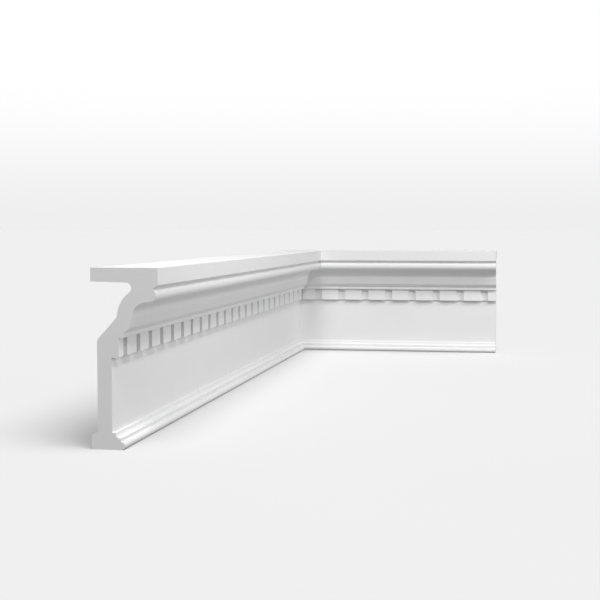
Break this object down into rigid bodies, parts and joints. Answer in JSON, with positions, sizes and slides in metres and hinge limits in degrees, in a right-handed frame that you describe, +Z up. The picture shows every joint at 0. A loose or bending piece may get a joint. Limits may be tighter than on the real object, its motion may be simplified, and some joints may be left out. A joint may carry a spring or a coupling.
{
  "type": "dentil wall moulding",
  "caption": "White dentil wall moulding with fascia, bead, cove, plain frieze and foot rail, in two lengths mitred at an inside corner.",
  "frame": {"origin": "centre of the footprint's bounding box, at the height of the underside", "axes": "+Z up; the long length runs along Y on a wall that faces +X; the short length runs along X on a wall that faces -Y; they meet at the -X, +Y corner"},
  "size_m": [0.354, 1.012, 0.17],
  "materials": {
    "left_length": "matte white primer on rigid foam",
    "right_length": "matte white primer on rigid foam"
  },
  "bodies": {
    "root": {"left_length": "left_length", "right_length": "right_length"}
  },
  "joints": []
}
